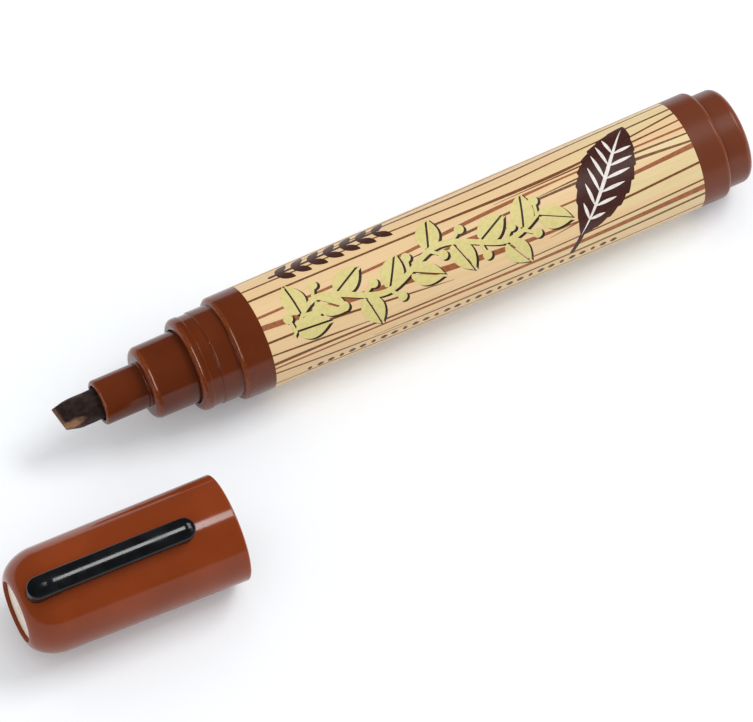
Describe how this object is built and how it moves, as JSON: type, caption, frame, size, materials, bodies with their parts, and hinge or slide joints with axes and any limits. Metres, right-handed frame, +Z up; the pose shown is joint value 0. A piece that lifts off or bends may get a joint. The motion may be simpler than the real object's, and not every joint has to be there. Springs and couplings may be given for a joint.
{
  "type": "furniture touch-up marker",
  "caption": "Fat round felt marker with a chisel nib, stepped nose, wrapped label and tail plug, lying beside its slide-on cap with a sprung pocket clip.",
  "frame": {"origin": "on the table, under the middle of the box round the marker and its cap", "axes": "+X along the marker from nib to tail, +Y from the cap towards the marker, +Z up from the table"},
  "size_m": [0.132, 0.0444, 0.0182],
  "materials": {
    "body_plastic": "moulded brown polypropylene, glossy",
    "cap_plastic": "moulded red-brown polypropylene, high gloss",
    "clip_plastic": "moulded black, high gloss",
    "label_film": "printed film, satin",
    "nib_felt": "ink-soaked polyester felt",
    "wad_fibre": "ink-soaked fibre",
    "wrap_film": "thin clear-white film",
    "liner_plastic": "natural polyethylene"
  },
  "bodies": {
    "marker": {"barrel": "body_plastic", "label_sleeve": "label_film", "nib_holder": "body_plastic", "nib": "nib_felt", "reservoir_core": "wad_fibre", "reservoir_wrap": "wrap_film", "tail_plug": "body_plastic"},
    "cap": {"cap_shell": "cap_plastic", "cap_liner": "liner_plastic"},
    "clip": {"clip": "clip_plastic"}
  },
  "joints": [
    {"name": "cap_slide", "type": "slide", "parent": "marker", "child": "cap", "axis": [0.9994, -0.0359, 0], "range_m": [-0.0142, 0.0129]},
    {"name": "clip_flex", "type": "hinge", "parent": "cap", "child": "clip", "pos_m": [-0.06316, -0.01538, 0.01567], "axis": [-0.0342, -0.9504, -0.309], "range_deg": [0, 3], "stiffness_Nm_per_rad": 0.5}
  ]
}
